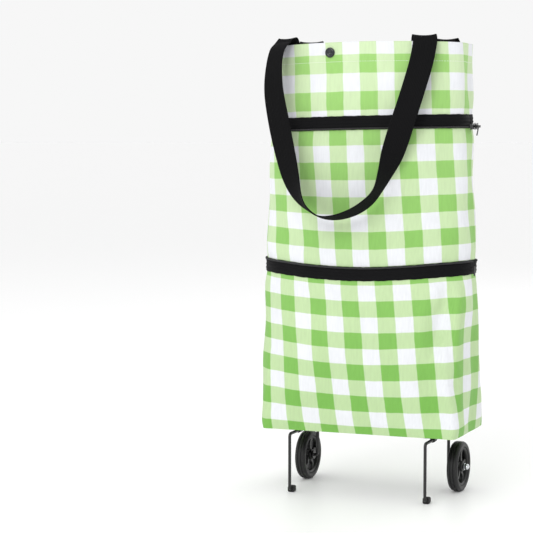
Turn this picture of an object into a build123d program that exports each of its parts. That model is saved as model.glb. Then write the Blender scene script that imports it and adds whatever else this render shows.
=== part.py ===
"""Folding shopping trolley: zip-shortened cloth bag on two fold-away wire frames.

Frame: origin on the floor under the middle of the bag, +X to the user's right,
+Y from the front panel to the back panel, +Z up.  Millimetres.
"""
import os
from math import cos, radians, sin

from build123d import *

os.makedirs("parts", exist_ok=True)

# ---- bag ------------------------------------------------------------------
hem_drop, hem_t = 24.0, 1.0     # the mouth's edge is turned in this far, in thinner cloth
cloth = 1.6                     # sewn cloth wall, lining and seam allowance together
floor_z = 86.0                  # underside of the bag's floor
lower_top = 279.0               # lower zip half is sewn on from here to lower_band_top
lower_band_top = 297.0
upper_band_bottom = 470.0
upper_band_top = 488.0          # upper zip half is sewn on from upper_band_bottom to here
rim_z = 580.0                   # top edge of the mouth
bottom_w, bottom_d = 263.0, 128.0
belly_w, belly_d, belly_z = 274.0, 134.0, 180.0
lower_w, lower_d = 270.0, 126.0
upper_w, upper_d = 259.0, 112.0
rim_w, rim_d = 266.0, 104.0
bottom_corner, belly_corner, waist_corner, rim_corner = 18.0, 34.0, 44.0, 16.0   # plan radii

# ---- zip ------------------------------------------------------------------
tape_t = 1.2                    # woven tape, folded double
coil_h, coil_t = 3.2, 2.4
zip_gap = 9.0                   # between the two ends of a tape, right-hand side
slider_travel = 28.0
pull_len = 21.0

# ---- handles --------------------------------------------------------------
strap_w, strap_t = 30.0, 1.6
left_leg_x, right_leg_x = -104.0, 84.0
fold_r = 3.0                    # inner radius of the strap's fold over the rim
fold_gap = 2.6                  # rim edge to the middle of that fold
fold_turn = 34                  # degrees of that fold that travel with the loop
tab_len = 38.0                  # length of each sewn strap end inside the mouth

# ---- snap fastener on the front and back hem ------------------------------
snap_x, snap_z = -42.0, 568.0
snap_r = 6.4

# ---- base plate and its stiffening board ----------------------------------
plate_w, plate_d, plate_t = 206.0, 88.0, 5.6
board_w, board_d, board_t = 246.0, 110.0, 3.0
rivet_r = 2.0
rivet_x, rivet_y = 62.0, 28.0

# ---- wire frames, one each side -------------------------------------------
wire_r = 2.0
bend_r = 7.0
leg_x = 92.0                    # half the distance between the two frames
front_leg_y, rear_leg_y = -64.0, 35.0
pivot_z = floor_z - plate_t - 3.3
foot_len = 9.0                  # turned-back end of the front leg
foot_wire_z = 4.2
clip_y = (-30.0, 10.0)
clip_len, clip_t = 9.0, 1.2
running = 0.06                  # radial clearance wherever something turns on the wire

# ---- wheels ---------------------------------------------------------------
wheel_r, wheel_w = 32.5, 14.6
wheel_inner_x = leg_x + 6.6
axle_end_x = wheel_inner_x + wheel_w + 4.4
hub_r = 7.0
tyre_bore_r = 25.0
spokes = 5

axle_z = wheel_r


def ring_section(levels, inset):
    """Loft of rounded rectangles through (z, width, depth, corner), drawn in by inset."""
    with BuildPart() as body:
        for z, w, d, r in levels:
            with BuildSketch(Plane.XY.offset(z)):
                RectangleRounded(w - 2 * inset, d - 2 * inset, r - inset)
        loft(ruled=True)
    return body.part


def shell(levels, thickness, grow=0.0):
    """Open tube that follows the levels, its outside moved out by grow."""
    return ring_section(levels, -grow) - ring_section(levels, thickness - grow)


def between(a, b, z):
    """The level at height z on the straight wall from level a to level b."""
    t = (z - a[0]) / (b[0] - a[0])
    return tuple(p + (q - p) * t for p, q in zip(a, b))


lower_levels = [
    (floor_z, bottom_w, bottom_d, bottom_corner),
    (belly_z, belly_w, belly_d, belly_corner),
    (lower_top, lower_w, lower_d, waist_corner),
    (lower_band_top, lower_w, lower_d - 1, waist_corner),
]
lower_band_levels = lower_levels[2:]
middle_levels = [lower_levels[3], (upper_band_bottom, upper_w, upper_d, waist_corner)]
upper_band_levels = [middle_levels[1], (upper_band_top, upper_w, upper_d - 1, waist_corner)]
rim_level = (rim_z, rim_w, rim_d, rim_corner)
mouth_level = between(upper_band_levels[1], rim_level, rim_z - tab_len - 6)[:3] + (rim_corner + 1,)
hem_level = between(mouth_level, rim_level, rim_z - hem_drop)
upper_levels = upper_band_levels + [mouth_level, hem_level, rim_level]

# ===========================================================================
# Bag
# ===========================================================================
with BuildPart() as lower_section:
    add(shell(lower_levels, cloth))
    with BuildSketch(Plane.XY.offset(floor_z)):
        RectangleRounded(bottom_w - 2, bottom_d - 2, bottom_corner - 1)
    extrude(amount=cloth)
    with Locations((0, 0, floor_z)):
        with GridLocations(2 * rivet_x, 2 * rivet_y, 2, 2):
            Cylinder(rivet_r, 8, mode=Mode.SUBTRACT)
lower_section.part.label = "lower_section"

with BuildPart() as middle_section:
    add(shell(middle_levels, cloth))
middle_section.part.label = "middle_section"

with BuildPart() as upper_section:
    add(shell(upper_levels, cloth))
    with Locations((snap_x, 0, snap_z)):
        Cylinder(1.6, rim_d + 20, rotation=(90, 0, 0), mode=Mode.SUBTRACT)
upper_section.part.label = "upper_section"

with BuildPart() as hem_facing:
    add(shell([hem_level, rim_level], hem_t, grow=-cloth))
    with Locations((snap_x, 0, snap_z)):
        Cylinder(1.6, rim_d + 20, rotation=(90, 0, 0), mode=Mode.SUBTRACT)
hem_facing.part.label = "hem_facing"

# ===========================================================================
# Separating zip: two halves, each a tape and a coil, meeting when the bag is short
# ===========================================================================
side_cut_x = lower_w / 2
with BuildPart() as lower_zip_tape:
    add(shell(lower_band_levels, tape_t, grow=tape_t))
    with Locations((side_cut_x, 0, (lower_top + lower_band_top) / 2)):
        Box(30, zip_gap, 30, mode=Mode.SUBTRACT)
lower_zip_tape.part.label = "lower_zip_tape"

with BuildPart() as upper_zip_tape:
    add(shell(upper_band_levels, tape_t, grow=tape_t))
    with Locations((side_cut_x, 0, (upper_band_bottom + upper_band_top) / 2)):
        Box(30, zip_gap, 30, mode=Mode.SUBTRACT)
upper_zip_tape.part.label = "upper_zip_tape"

lower_coil_levels = [
    (z, lower_w + 2 * tape_t, lower_d + 2 * tape_t, waist_corner + tape_t)
    for z in (lower_band_top - coil_h, lower_band_top)
]
upper_coil_levels = [
    (z, upper_w + 2 * tape_t, upper_d + 2 * tape_t, waist_corner + tape_t)
    for z in (upper_band_bottom, upper_band_bottom + coil_h)
]
with BuildPart() as lower_zip_coil:
    add(shell(lower_coil_levels, coil_t - 0.8, grow=coil_t - 0.8))
    with Locations((side_cut_x, 0, lower_band_top)):
        Box(40, zip_gap + 10, 20, mode=Mode.SUBTRACT)
lower_zip_coil.part.label = "lower_zip_coil"

with BuildPart() as upper_zip_coil:
    add(shell(upper_coil_levels, coil_t - 0.8, grow=coil_t - 0.8))
    with Locations((side_cut_x, slider_travel / 2 + 0.5, upper_band_bottom)):
        Box(40, zip_gap + 16 + slider_travel, 20, mode=Mode.SUBTRACT)
upper_zip_coil.part.label = "upper_zip_coil"

# The insertion pin stands on one end of the lower half, the retaining box on the upper.
pin_x = lower_w / 2 + tape_t
with BuildPart() as zip_pin:
    with Locations((pin_x + 0.9, -zip_gap / 2 - 2.5, lower_band_top - 5)):
        Box(1.8, 3, 12)
    fillet(zip_pin.edges().filter_by(Axis.Z), 0.6)
zip_pin.part.label = "zip_pin"

box_x = upper_w / 2 + tape_t
with BuildPart() as zip_box:
    with Locations((box_x + 1.6, -zip_gap / 2 - 3.5, upper_band_bottom + 4)):
        Box(3.2, 6, 7)
    fillet(zip_box.edges().filter_by(Axis.Y), 0.8)
zip_box.part.label = "zip_box"

slider_y, slider_z = 3.5, upper_band_bottom + 4.5
slider_in_x = box_x + 0.5
with BuildPart() as zip_slider:
    # two wedge plates joined by the diamond post, with the bridge that holds the pull
    for x in (slider_in_x + 0.6, slider_in_x + 4.0):
        with BuildSketch(Plane.YZ.offset(x - 0.6)):
            with BuildLine():
                Polyline((slider_y - 5, slider_z - 3), (slider_y + 5, slider_z - 4.5),
                         (slider_y + 5, slider_z + 4.5), (slider_y - 5, slider_z + 3), close=True)
            make_face()
        extrude(amount=1.2)
    with Locations((slider_in_x + 2.3, slider_y + 3.6, slider_z)):
        Box(3.0, 2.2, 2.6)
    # bridge: two ears with a cross pin
    for y in (slider_y - 3.2, slider_y + 3.2):
        with Locations((slider_in_x + 6.2, y, slider_z)):
            Box(3.6, 1.4, 3.0)
    with Locations((slider_in_x + 6.9, slider_y, slider_z)):
        Cylinder(0.7, 6.4, rotation=(90, 0, 0))
zip_slider.part.label = "zip_slider"

pull_x = slider_in_x + 6.9
with BuildPart() as zip_pull:
    with BuildSketch(Plane.YZ.offset(pull_x - 0.6)):
        with Locations((slider_y, slider_z - pull_len / 2 + 2.2)):
            RectangleRounded(4.4, pull_len, 1.6)
        with Locations((slider_y, slider_z - pull_len + 6.5)):
            SlotOverall(7, 2.2, rotation=90, mode=Mode.SUBTRACT)
    extrude(amount=1.2)
    with Locations((pull_x, slider_y, slider_z)):
        Cylinder(1.9, 4.4, rotation=(90, 0, 0))
        Cylinder(0.7 + running, 8, rotation=(90, 0, 0), mode=Mode.SUBTRACT)
zip_pull.part.label = "zip_pull"

# ===========================================================================
# Webbing handles.  Each loop is one strap: it stands flat on its legs and turns
# edge-on towards the bottom, where the webbing bends its easy way.
# ===========================================================================
fold_y = rim_d / 2
fold_z = rim_z + fold_gap
strap_mid_r = fold_r + strap_t / 2


def strap_sections(side):
    """Centre line points with travel direction and twist, left rim to right rim.

    Twist is the turn, in degrees, of the strap's face away from the panel.
    """
    y0 = fold_y + strap_mid_r
    points = [
        ((left_leg_x, y0, fold_z), 0),
        ((left_leg_x + 1, y0 + 8, 520), 0),
        ((-95, y0 + 16, 458), 6),
        ((-81, y0 + 21, 408), 26),
        ((-58, y0 + 26, 374), 62),
        ((-26, y0 + 28, 360), 76),
        ((7, y0 + 28, 366), 78),
        ((33, y0 + 27, 388), 84),
        ((46, y0 + 24, 420), 62),
        ((58, y0 + 18, 458), 22),
        ((73, y0 + 8, 512), 4),
        ((right_leg_x, y0, fold_z), 0),
    ]
    return [(Vector(x, side * y, z), t) for (x, y, z), t in points]


def strap_loop(side):
    points = strap_sections(side)
    with BuildPart() as strap:
        for i, (p, twist) in enumerate(points):
            before, after = points[max(i - 1, 0)][0], points[min(i + 1, len(points) - 1)][0]
            along = (after - before).normalized()
            if i == 0:
                along = Vector(0, 0, -1)
            if i == len(points) - 1:
                along = Vector(0, 0, 1)
            out = Vector(0, side, 0)
            across = out.cross(along).normalized()
            out = along.cross(across).normalized()
            width_dir = across * cos(radians(twist)) + out * sin(radians(twist)) * side
            with BuildSketch(Plane(origin=p, x_dir=width_dir, z_dir=along)):
                Rectangle(strap_w, strap_t)
        loft(ruled=True)
        # start of each leg's turn over the rim; it stops where it still clears the rim with the loop up
        for x in (left_leg_x, right_leg_x):
            with BuildSketch(Plane.YZ.offset(x - strap_w / 2)):
                with BuildLine():
                    start = 90 - side * (90 - fold_turn)
                    inner = CenterArc((side * fold_y, fold_z), fold_r, start, side * -fold_turn)
                    outer = CenterArc((side * fold_y, fold_z), fold_r + strap_t, start, side * -fold_turn)
                    Line(inner @ 0, outer @ 0)
                    Line(inner @ 1, outer @ 1)
                make_face()
            extrude(amount=strap_w)
    return strap.part


def strap_ends(side):
    """The two strap ends sewn down inside the mouth."""
    y = side * (rim_d / 2 - cloth - hem_t - strap_t / 2 - 0.3)
    with BuildPart() as ends:
        for x in (left_leg_x, right_leg_x):
            with Locations((x, y, rim_z - 0.4 - tab_len / 2)):
                Box(strap_w, strap_t, tab_len)
    return ends.part


with BuildPart() as front_handle:
    add(strap_loop(-1))
front_handle.part.label = "front_handle"

with BuildPart() as back_handle:
    add(strap_loop(1))
back_handle.part.label = "back_handle"

with BuildPart() as front_handle_ends:
    add(strap_ends(-1))
front_handle_ends.part.label = "front_handle_ends"

with BuildPart() as back_handle_ends:
    add(strap_ends(1))
back_handle_ends.part.label = "back_handle_ends"

# ===========================================================================
# Snap fastener: cap and socket on the front hem, stud and back cap on the back hem
# ===========================================================================
hem_in_y = rim_d / 2 - cloth - hem_t
hem_out_y = rim_d / 2 + (snap_z - rim_z) / (upper_band_top - rim_z) * (upper_d - 1 - rim_d) / 2


def snap_dome(side):
    with BuildPart() as dome:
        with BuildSketch(Plane.XY) as profile:
            with BuildLine():
                Polyline((0, -1.0), (1.5, -1.0), (1.5, 0.5), (snap_r, 0.5), (snap_r, 1.3),
                         (5.0, 2.6), (3.4, 2.9), (2.2, 2.2), (0, 2.0), close=True)
            make_face()
        revolve(axis=Axis.Y)
    turn = Rotation(0, 0, 0) if side > 0 else Rotation(0, 0, 180)
    return Location((snap_x, side * hem_out_y, snap_z)) * turn * dome.part


with BuildPart() as snap_cap:
    add(snap_dome(-1))
snap_cap.part.label = "snap_cap"

with BuildPart() as snap_back:
    add(snap_dome(1))
snap_back.part.label = "snap_back"

with BuildPart() as snap_socket:
    with Locations((snap_x, -hem_in_y + 1.1, snap_z)):
        Cylinder(5.8, 2.2, rotation=(90, 0, 0))
    with Locations((snap_x, -hem_in_y + 1.6, snap_z)):
        Cylinder(2.3, 2.2, rotation=(90, 0, 0), mode=Mode.SUBTRACT)
snap_socket.part.label = "snap_socket"

with BuildPart() as snap_stud:
    with Locations((snap_x, hem_in_y - 0.6, snap_z)):
        Cylinder(5.8, 1.2, rotation=(90, 0, 0))
    with Locations((snap_x, hem_in_y - 2.1, snap_z)):
        Cylinder(2.1, 2.2, rotation=(90, 0, 0))
snap_stud.part.label = "snap_stud"

# ===========================================================================
# Base: ribbed plastic plate under the bag, board inside it, four rivets
# ===========================================================================
plate_z = floor_z - plate_t
with BuildPart() as base_plate:
    with BuildSketch(Plane.XY.offset(plate_z)):
        RectangleRounded(plate_w, plate_d, 9)
    extrude(amount=plate_t)
    # shallow trays in the upper side leave stiffening ribs
    with BuildSketch(Plane.XY.offset(floor_z)):
        with GridLocations(38, plate_d / 2 - 6, 3, 2):
            RectangleRounded(33, plate_d / 2 - 12, 3)
    extrude(amount=-(plate_t - 2.2), mode=Mode.SUBTRACT)
    with Locations((0, 0, plate_z + plate_t / 2)):
        with GridLocations(2 * rivet_x, 2 * rivet_y, 2, 2):
            Cylinder(rivet_r, plate_t + 2, mode=Mode.SUBTRACT)
    fillet(base_plate.edges().group_by(Axis.Z)[0].filter_by(GeomType.LINE), 1.2)
base_plate.part.label = "base_plate"

board_z = floor_z + cloth
with BuildPart() as stiffener_board:
    with BuildSketch(Plane.XY.offset(board_z)):
        RectangleRounded(board_w, board_d, 12)
        with GridLocations(2 * rivet_x, 2 * rivet_y, 2, 2):
            Circle(rivet_r, mode=Mode.SUBTRACT)
    extrude(amount=board_t)
stiffener_board.part.label = "stiffener_board"

washer_z = board_z + board_t
with BuildPart() as rivet_washers:
    with BuildSketch(Plane.XY.offset(washer_z)):
        with GridLocations(2 * rivet_x, 2 * rivet_y, 2, 2):
            Circle(6)
            Circle(rivet_r, mode=Mode.SUBTRACT)
    extrude(amount=0.8)
rivet_washers.part.label = "rivet_washers"

with BuildPart() as base_rivets:
    shank = washer_z + 0.8 - plate_z
    with Locations((0, 0, plate_z + shank / 2)):
        with GridLocations(2 * rivet_x, 2 * rivet_y, 2, 2):
            Cylinder(rivet_r, shank)
    with Locations((0, 0, plate_z - 0.7)):
        with GridLocations(2 * rivet_x, 2 * rivet_y, 2, 2):
            Cylinder(4.0, 1.4)
    with Locations((0, 0, washer_z + 0.8 + 0.6)):
        with GridLocations(2 * rivet_x, 2 * rivet_y, 2, 2):
            Cylinder(3.2, 1.2)
base_rivets.part.label = "base_rivets"


def hinge_clip(side, y):
    """Steel strap bent round the frame's top bar, its tab flat under the plate."""
    ring_in = wire_r + running
    ring_out = ring_in + clip_t
    tab_end = 15.0
    with BuildPart() as clip:
        with BuildSketch(Plane.XZ.offset(-(y - clip_len / 2))):
            with Locations((side * leg_x, pivot_z)):
                Circle(ring_out)
            with Locations((side * (leg_x - tab_end / 2 - 1), plate_z - clip_t / 2)):
                Rectangle(tab_end + 2, clip_t)
            with Locations((side * leg_x, pivot_z)):
                Circle(ring_in, mode=Mode.SUBTRACT)
        extrude(amount=-clip_len)
        with Locations((side * (leg_x - 10.5), y, plate_z)):
            Cylinder(1.6, 6, mode=Mode.SUBTRACT)
    return clip.part


with BuildPart() as left_front_clip:
    add(hinge_clip(-1, clip_y[0]))
left_front_clip.part.label = "left_front_clip"

with BuildPart() as left_rear_clip:
    add(hinge_clip(-1, clip_y[1]))
left_rear_clip.part.label = "left_rear_clip"

with BuildPart() as right_front_clip:
    add(hinge_clip(1, clip_y[0]))
right_front_clip.part.label = "right_front_clip"

with BuildPart() as right_rear_clip:
    add(hinge_clip(1, clip_y[1]))
right_rear_clip.part.label = "right_rear_clip"

with BuildPart() as clip_rivets:
    for side in (-1, 1):
        for y in clip_y:
            with Locations((side * (leg_x - 10.5), y, plate_z - clip_t / 2)):
                Cylinder(1.6, clip_t)
            with Locations((side * (leg_x - 10.5), y, plate_z - clip_t - 0.5)):
                Cylinder(2.8, 1.0)
clip_rivets.part.label = "clip_rivets"

# ===========================================================================
# Wire frames: foot, front leg, top bar, rear leg and axle bent from one rod
# ===========================================================================


def frame_rod(side):
    x = side * leg_x
    with BuildPart() as rod:
        with BuildLine():
            FilletPolyline(
                (x, front_leg_y + foot_len, foot_wire_z),
                (x, front_leg_y, foot_wire_z),
                (x, front_leg_y, pivot_z),
                (x, rear_leg_y, pivot_z),
                (x, rear_leg_y, axle_z),
                (side * axle_end_x, rear_leg_y, axle_z),
                radius=4.0,
            )
        with BuildSketch(Plane(origin=(x, front_leg_y + foot_len, foot_wire_z), z_dir=(0, -1, 0))):
            Circle(wire_r)
        sweep()
    return rod.part


def foot_cap(side):
    """Rubber cap pushed on the turned-back foot, flat where it stands."""
    x = side * leg_x
    y0 = front_leg_y + 3.6
    with BuildPart() as cap:
        with Locations((x, y0 + 4.6, 4.0)):
            Box(8.4, 9.2, 8.0)
        fillet(cap.edges().filter_by(Axis.Y), 2.2)
        fillet(cap.faces().sort_by(Axis.Y)[-1].edges(), 1.2)
        with Locations((x, y0 + (front_leg_y + foot_len - y0) / 2, foot_wire_z)):
            Cylinder(wire_r, front_leg_y + foot_len - y0, rotation=(90, 0, 0), mode=Mode.SUBTRACT)
    return cap.part


def axle_washer(side):
    with BuildPart() as washer:
        with BuildSketch(Plane.YZ.offset(side * (wheel_inner_x - 0.5))):
            with Locations((rear_leg_y, axle_z)):
                Circle(6.0)
                Circle(wire_r, mode=Mode.SUBTRACT)
        extrude(amount=-side * 1.2)
    return washer.part


def axle_cap(side):
    """Pressed acorn cap that keeps the wheel on the wire."""
    start = wheel_inner_x + wheel_w + 0.5
    reach = axle_end_x - start
    with BuildPart() as cap:
        with BuildSketch(Plane.XY):
            with BuildLine():
                Polyline((wire_r, 0), (4.6, 0), (4.6, 0.8), (3.8, 0.8), (3.8, reach - 0.6),
                         (3.5, reach + 0.8), (2.6, reach + 1.9), (1.4, reach + 2.6),
                         (0, reach + 2.8), (0, reach), (wire_r, reach), close=True)
            make_face()
        revolve(axis=Axis.Y)
    turn = Rotation(0, 0, -90 * side)
    return Location((side * start, rear_leg_y, axle_z)) * turn * cap.part


def wheel_rim(side):
    """Moulded rim: hub, five slim spokes and the bed the tyre sits on."""
    mid = side * (wheel_inner_x + wheel_w / 2)
    plane = Plane(origin=(mid, rear_leg_y, axle_z), x_dir=(0, 1, 0), z_dir=(1, 0, 0))
    with BuildPart() as rim:
        with BuildSketch(plane):
            Circle(tyre_bore_r)
            Circle(tyre_bore_r - 2.6, mode=Mode.SUBTRACT)
        extrude(amount=(wheel_w - 2) / 2, both=True)
        with BuildSketch(plane):
            Circle(hub_r)
        extrude(amount=wheel_w / 2, both=True)
        with BuildSketch(plane):
            with PolarLocations(0, spokes):
                with Locations((14.6, 0)):
                    Rectangle(18.0, 3.4)
        extrude(amount=4.2, both=True)
        with BuildSketch(plane):
            Circle(wire_r + running)
        extrude(amount=wheel_w, both=True, mode=Mode.SUBTRACT)
    return rim.part


def tyre(side):
    """Moulded tread with two running grooves and softened shoulders."""
    r_in, r_out, half = tyre_bore_r, wheel_r, wheel_w / 2
    with BuildPart() as ring:
        with BuildSketch(Plane.XY):
            with BuildLine():
                Polyline((r_in, -half + 0.4), (r_out - 1.8, -half), (r_out, -half + 1.8),
                         (r_out, -3.3), (r_out - 1.0, -2.9), (r_out - 1.0, -2.1), (r_out, -1.7),
                         (r_out, 1.7), (r_out - 1.0, 2.1), (r_out - 1.0, 2.9), (r_out, 3.3),
                         (r_out, half - 1.8), (r_out - 1.8, half), (r_in, half - 0.4), close=True)
            make_face()
        revolve(axis=Axis.Y)
    mid = side * (wheel_inner_x + wheel_w / 2)
    return Location((mid, rear_leg_y, axle_z)) * Rotation(0, 0, 90) * ring.part


with BuildPart() as left_frame_rod:
    add(frame_rod(-1))
left_frame_rod.part.label = "left_frame_rod"

with BuildPart() as left_foot_cap:
    add(foot_cap(-1))
left_foot_cap.part.label = "left_foot_cap"

with BuildPart() as left_axle_washer:
    add(axle_washer(-1))
left_axle_washer.part.label = "left_axle_washer"

with BuildPart() as left_axle_cap:
    add(axle_cap(-1))
left_axle_cap.part.label = "left_axle_cap"

with BuildPart() as left_wheel_rim:
    add(wheel_rim(-1))
left_wheel_rim.part.label = "left_wheel_rim"

with BuildPart() as left_tyre:
    add(tyre(-1))
left_tyre.part.label = "left_tyre"

with BuildPart() as right_frame_rod:
    add(frame_rod(1))
right_frame_rod.part.label = "right_frame_rod"

with BuildPart() as right_foot_cap:
    add(foot_cap(1))
right_foot_cap.part.label = "right_foot_cap"

with BuildPart() as right_axle_washer:
    add(axle_washer(1))
right_axle_washer.part.label = "right_axle_washer"

with BuildPart() as right_axle_cap:
    add(axle_cap(1))
right_axle_cap.part.label = "right_axle_cap"

with BuildPart() as right_wheel_rim:
    add(wheel_rim(1))
right_wheel_rim.part.label = "right_wheel_rim"

with BuildPart() as right_tyre:
    add(tyre(1))
right_tyre.part.label = "right_tyre"

# ===========================================================================
# Export
# ===========================================================================
export_step(lower_section.part, "parts/lower_section.step")
export_step(middle_section.part, "parts/middle_section.step")
export_step(upper_section.part, "parts/upper_section.step")
export_step(hem_facing.part, "parts/hem_facing.step")
export_step(lower_zip_tape.part, "parts/lower_zip_tape.step")
export_step(lower_zip_coil.part, "parts/lower_zip_coil.step")
export_step(upper_zip_tape.part, "parts/upper_zip_tape.step")
export_step(upper_zip_coil.part, "parts/upper_zip_coil.step")
export_step(zip_pin.part, "parts/zip_pin.step")
export_step(zip_box.part, "parts/zip_box.step")
export_step(zip_slider.part, "parts/zip_slider.step")
export_step(zip_pull.part, "parts/zip_pull.step")
export_step(front_handle.part, "parts/front_handle.step")
export_step(back_handle.part, "parts/back_handle.step")
export_step(front_handle_ends.part, "parts/front_handle_ends.step")
export_step(back_handle_ends.part, "parts/back_handle_ends.step")
export_step(snap_cap.part, "parts/snap_cap.step")
export_step(snap_back.part, "parts/snap_back.step")
export_step(snap_socket.part, "parts/snap_socket.step")
export_step(snap_stud.part, "parts/snap_stud.step")
export_step(base_plate.part, "parts/base_plate.step")
export_step(stiffener_board.part, "parts/stiffener_board.step")
export_step(rivet_washers.part, "parts/rivet_washers.step")
export_step(base_rivets.part, "parts/base_rivets.step")
export_step(left_front_clip.part, "parts/left_front_clip.step")
export_step(left_rear_clip.part, "parts/left_rear_clip.step")
export_step(right_front_clip.part, "parts/right_front_clip.step")
export_step(right_rear_clip.part, "parts/right_rear_clip.step")
export_step(clip_rivets.part, "parts/clip_rivets.step")
export_step(left_frame_rod.part, "parts/left_frame_rod.step")
export_step(left_foot_cap.part, "parts/left_foot_cap.step")
export_step(left_axle_washer.part, "parts/left_axle_washer.step")
export_step(left_axle_cap.part, "parts/left_axle_cap.step")
export_step(left_wheel_rim.part, "parts/left_wheel_rim.step")
export_step(left_tyre.part, "parts/left_tyre.step")
export_step(right_frame_rod.part, "parts/right_frame_rod.step")
export_step(right_foot_cap.part, "parts/right_foot_cap.step")
export_step(right_axle_washer.part, "parts/right_axle_washer.step")
export_step(right_axle_cap.part, "parts/right_axle_cap.step")
export_step(right_wheel_rim.part, "parts/right_wheel_rim.step")
export_step(right_tyre.part, "parts/right_tyre.step")
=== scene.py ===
"""Folding shopping trolley: gingham cloth bag in three zipped sections on two wire frames."""
import math

import bmesh
import bpy
import numpy as np
from mathutils import Matrix, Vector


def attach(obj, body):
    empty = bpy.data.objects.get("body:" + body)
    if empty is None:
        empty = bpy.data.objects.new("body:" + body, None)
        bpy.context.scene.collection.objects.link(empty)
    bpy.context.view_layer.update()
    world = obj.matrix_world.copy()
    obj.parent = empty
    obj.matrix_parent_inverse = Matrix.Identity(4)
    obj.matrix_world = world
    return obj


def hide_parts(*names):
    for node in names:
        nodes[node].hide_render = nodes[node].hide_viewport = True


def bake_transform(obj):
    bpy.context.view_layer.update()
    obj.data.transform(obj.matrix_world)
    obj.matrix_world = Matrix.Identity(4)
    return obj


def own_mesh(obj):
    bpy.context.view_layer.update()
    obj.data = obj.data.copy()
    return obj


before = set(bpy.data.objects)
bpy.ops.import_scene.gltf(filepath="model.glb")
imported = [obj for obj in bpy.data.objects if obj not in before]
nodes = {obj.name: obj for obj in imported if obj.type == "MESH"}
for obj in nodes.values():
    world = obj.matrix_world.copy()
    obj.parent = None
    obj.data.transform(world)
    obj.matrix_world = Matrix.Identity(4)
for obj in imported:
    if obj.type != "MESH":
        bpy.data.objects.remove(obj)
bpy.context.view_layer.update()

# --------------------------------------------------------------------------
# camera and light: a long lens from the front right, a little above the bag's middle
# --------------------------------------------------------------------------
cam_data = bpy.data.cameras.new("camera")
cam_data.lens, cam_data.sensor_width = 113.15, 36.0
cam_data.clip_start, cam_data.clip_end = 0.05, 500.0
camera = bpy.data.objects.new("camera", cam_data)
bpy.context.scene.collection.objects.link(camera)
camera.location = (0.7335, -2.0503, 0.4585)
camera.rotation_euler = (math.radians(90 - 4.35), 0.0, math.radians(23.37))
bpy.context.scene.camera = camera
bpy.context.scene.view_settings.view_transform = "Standard"


def area_light(name, place, aim, size, power):
    data = bpy.data.lights.new(name, "AREA")
    data.shape, data.size, data.energy = "DISK", size, power
    lamp = bpy.data.objects.new(name, data)
    bpy.context.scene.collection.objects.link(lamp)
    lamp.location = place
    lamp.rotation_euler = (Vector(aim) - Vector(place)).to_track_quat("-Z", "Y").to_euler()


area_light("key", (-0.2, -2.5, 1.9), (0, 0, 0.36), 1.9, 27)
area_light("left", (-2.2, -1.2, 1.5), (0, 0, 0.40), 1.2, 2.5)
area_light("back", (0.8, 2.4, 1.9), (0, 0, 0.35), 1.8, 12)

world = bpy.data.worlds.new("studio")
bpy.context.scene.world = world
world.use_nodes = True
backdrop = world.node_tree.nodes["Background"]
backdrop.inputs["Color"].default_value = (1, 1, 1, 1)
backdrop.inputs["Strength"].default_value = 0.93


# --------------------------------------------------------------------------
# materials
# --------------------------------------------------------------------------
def srgb(code):
    """Linear RGBA of an sRGB hex colour."""
    parts = [int(code[i:i + 2], 16) / 255 for i in (1, 3, 5)]
    return tuple(c / 12.92 if c <= 0.04045 else ((c + 0.055) / 1.055) ** 2.4 for c in parts) + (1.0,)


def add(mat, kind, links=(), **settings):
    """Adds one node. settings are its properties and, as in_NAME or in_0, its sockets' values;
    links are (output, input)."""
    made = mat.node_tree.nodes.new(kind)
    for key, value in settings.items():
        if key.startswith("in_"):
            key = key[3:]
            made.inputs[int(key) if key.isdigit() else key.replace("_", " ")].default_value = value
        else:
            setattr(made, key, value)
    for source, target in links:
        mat.node_tree.links.new(source, made.inputs[target])
    return made


def finish_named(name, base, roughness, metallic=0.0, **sockets):
    """A material with its shader's plain values set; returns it and the shader."""
    mat = bpy.data.materials.new(name)
    mat.use_nodes = True
    shader = mat.node_tree.nodes["Principled BSDF"]
    shader.inputs["Base Color"].default_value = srgb(base)
    shader.inputs["Roughness"].default_value = roughness
    shader.inputs["Metallic"].default_value = metallic
    for key, value in sockets.items():
        shader.inputs[key.replace("_", " ")].default_value = value
    return mat, shader


def feed(mat, socket, value):
    """Sets the socket to a plain value, or links another node's output to it."""
    if isinstance(value, (int, float, tuple)):
        socket.default_value = value
    else:
        mat.node_tree.links.new(value, socket)


def math_node(mat, operation, *values):
    """The output of one sum: each value is a number or another node's output."""
    made = add(mat, "ShaderNodeMath", operation=operation)
    for socket, value in zip(made.inputs, values):
        feed(mat, socket, value)
    return made.outputs[0]


def wave(mat, coordinate, repeats):
    """A sine that repeats this often for each unit of the coordinate."""
    return math_node(mat, "SINE", math_node(mat, "MULTIPLY", coordinate, 2 * math.pi * repeats))


def remap(mat, value, to_low, to_high, from_low=0.0, from_high=1.0):
    """The value stretched from one range to another, and held at its ends."""
    return add(mat, "ShaderNodeMapRange", [(value, "Value")], in_From_Min=from_low, in_From_Max=from_high,
               in_To_Min=to_low, in_To_Max=to_high).outputs[0]


def mix_colours(mat, factor, low, high, blend="MIX"):
    """The low colour where the factor is 0 and the high one where it is 1."""
    made = add(mat, "ShaderNodeMix", data_type="RGBA", blend_type=blend)
    for socket, value in zip((0, 6, 7), (factor, low, high)):
        feed(mat, made.inputs[socket], value)
    return made.outputs[2]


def bump(mat, shader, height, distance, strength=1.0, before=None):
    """Relief of this depth in metres, on top of the relief before."""
    made = add(mat, "ShaderNodeBump", [(height, "Height")], in_Distance=distance, in_Strength=strength)
    if before:
        mat.node_tree.links.new(before, made.inputs["Normal"])
    mat.node_tree.links.new(made.outputs[0], shader.inputs["Normal"])
    return made.outputs[0]


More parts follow.
